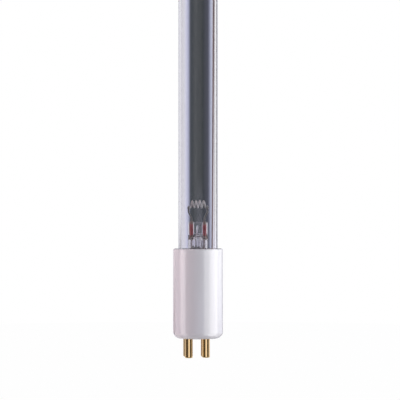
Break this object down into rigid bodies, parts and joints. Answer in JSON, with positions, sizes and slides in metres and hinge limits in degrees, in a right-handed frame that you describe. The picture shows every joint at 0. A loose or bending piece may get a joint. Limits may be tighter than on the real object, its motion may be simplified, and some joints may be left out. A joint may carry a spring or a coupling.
{
  "type": "uvc germicidal lamp tube",
  "caption": "Straight clear glass discharge tube with a coiled electrode on a glass stem at each end, a long white ceramic base cap with brass contact pins, and a plain far cap.",
  "frame": {"origin": "centre of the base cap's end face, which bears on the lampholder", "axes": "+Z along the lamp from the pins to the far cap, +X to the right and +Y away in the picture's view"},
  "size_m": [0.019, 0.019, 0.2192],
  "materials": {
    "glass": "clear, polished",
    "cap_ceramic": "satin white",
    "pin_brass": "polished",
    "cement": "matte",
    "coated_coil": "powdery white coating on wire",
    "lead_wire": "drawn nickel",
    "seal_wire": "red glaze on copper",
    "copper_wire": "drawn copper",
    "return_wire": "dull, brownish",
    "mercury": "liquid mirror"
  },
  "bodies": {
    "root": {"base_cap": "cap_ceramic", "base_cement": "cement", "base_filament": "coated_coil", "base_lead_wire_left": "lead_wire", "base_lead_wire_right": "lead_wire", "base_seal_wire_left": "seal_wire", "base_seal_wire_right": "seal_wire", "base_stem": "glass", "base_tail_wire_left": "copper_wire", "base_tail_wire_right": "copper_wire", "contact_pin_1": "pin_brass", "contact_pin_2": "pin_brass", "contact_pin_3": "pin_brass", "contact_pin_4": "pin_brass", "far_cap": "cap_ceramic", "far_cement": "cement", "far_filament": "coated_coil", "far_lead_wire_left": "lead_wire", "far_lead_wire_right": "lead_wire", "far_seal_wire_left": "seal_wire", "far_seal_wire_right": "seal_wire", "far_stem": "glass", "glass_tube": "glass", "mercury_bead": "mercury", "return_wire_front": "return_wire", "return_wire_rear": "return_wire"}
  },
  "joints": []
}
